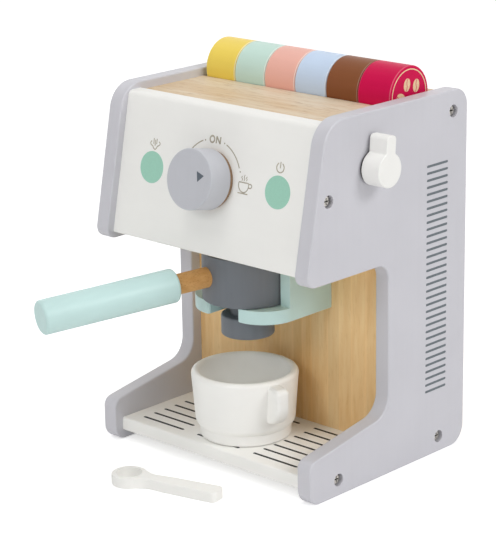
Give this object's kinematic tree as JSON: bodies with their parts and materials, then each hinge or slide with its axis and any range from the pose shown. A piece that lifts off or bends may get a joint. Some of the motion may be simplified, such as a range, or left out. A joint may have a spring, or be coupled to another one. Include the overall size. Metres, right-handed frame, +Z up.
{
  "type": "toy coffee maker",
  "caption": "Wooden pretend-play espresso machine with dial, steam knob, portafilter in a slotted holder, coffee pods in a trough, cup and spoon.",
  "frame": {"origin": "on the floor, at the middle of the side panels' footprint", "axes": "+Z up, +X to the machine's right as seen from its front, -Y towards the child who plays at it"},
  "size_m": [0.2177, 0.2689, 0.2809],
  "materials": {
    "grey_paint": "painted satin",
    "white_paint": "painted satin",
    "pale_wood": "clear matt lacquer",
    "board_wood": "clear matt lacquer",
    "dowel_wood": "clear satin lacquer",
    "mint_paint": "painted satin",
    "charcoal_paint": "painted satin",
    "dial_paint": "painted satin",
    "washer_wood": "bare",
    "washer_felt": "felt",
    "screw_steel": "zinc plated",
    "yellow_paint": "painted satin",
    "pod_mint_paint": "painted satin",
    "salmon_paint": "painted satin",
    "blue_paint": "painted satin",
    "brown_paint": "painted satin",
    "red_paint": "painted satin"
  },
  "bodies": {
    "frame": {"side_panel_left": "grey_paint", "side_panel_right": "grey_paint", "front_panel": "white_paint", "top_board": "pale_wood", "base_board": "white_paint", "column_board": "board_wood", "back_board": "board_wood", "head_floor": "board_wood", "side_screws": "screw_steel", "frame_dowels": "dowel_wood", "group_holder": "mint_paint", "holder_screws": "screw_steel", "dial_washer": "washer_wood", "steam_washer": "washer_felt"},
    "portafilter": {"portafilter_basket": "charcoal_paint", "portafilter_spout": "charcoal_paint", "portafilter_peg": "dowel_wood", "portafilter_grip": "mint_paint"},
    "dial": {"dial_knob": "dial_paint", "dial_axle": "dowel_wood", "dial_stop": "dowel_wood"},
    "steam": {"steam_knob": "white_paint", "steam_axle": "dowel_wood", "steam_stop": "dowel_wood"},
    "yellow_pod": {"pod_yellow": "yellow_paint"},
    "mint_pod": {"pod_mint": "pod_mint_paint"},
    "salmon_pod": {"pod_salmon": "salmon_paint"},
    "blue_pod": {"pod_blue": "blue_paint"},
    "brown_pod": {"pod_brown": "brown_paint"},
    "red_pod": {"pod_red": "red_paint"},
    "cup": {"cup_bowl": "white_paint", "cup_ear": "white_paint"},
    "loose_spoon": {"spoon": "white_paint"}
  },
  "joints": [
    {"name": "portafilter_out", "type": "slide", "parent": "frame", "child": "portafilter", "axis": [0, -1, 0], "range_m": [0, 0.09]},
    {"name": "dial_turn", "type": "hinge", "parent": "frame", "child": "dial", "pos_m": [0, -0.06856, 0.20807], "axis": [0, -0.981, 0.1942], "continuous": true},
    {"name": "steam_turn", "type": "hinge", "parent": "frame", "child": "steam", "pos_m": [0.1005, -0.0207, 0.2235], "axis": [1, 0, 0], "continuous": true},
    {"name": "yellow_pod_lift", "type": "slide", "parent": "frame", "child": "yellow_pod", "axis": [0, 0, 1], "range_m": [0, 0.05]},
    {"name": "mint_pod_lift", "type": "slide", "parent": "frame", "child": "mint_pod", "axis": [0, 0, 1], "range_m": [0, 0.05]},
    {"name": "salmon_pod_lift", "type": "slide", "parent": "frame", "child": "salmon_pod", "axis": [0, 0, 1], "range_m": [0, 0.05]},
    {"name": "blue_pod_lift", "type": "slide", "parent": "frame", "child": "blue_pod", "axis": [0, 0, 1], "range_m": [0, 0.05]},
    {"name": "brown_pod_lift", "type": "slide", "parent": "frame", "child": "brown_pod", "axis": [0, 0, 1], "range_m": [0, 0.05]},
    {"name": "red_pod_lift", "type": "slide", "parent": "frame", "child": "red_pod", "axis": [0, 0, 1], "range_m": [0, 0.05]},
    {"name": "cup_out", "type": "slide", "parent": "frame", "child": "cup", "axis": [0, -1, 0], "range_m": [0, 0.09]},
    {"name": "spoon_away", "type": "slide", "parent": "frame", "child": "loose_spoon", "axis": [0, -1, 0], "range_m": [0, 0.06]}
  ]
}
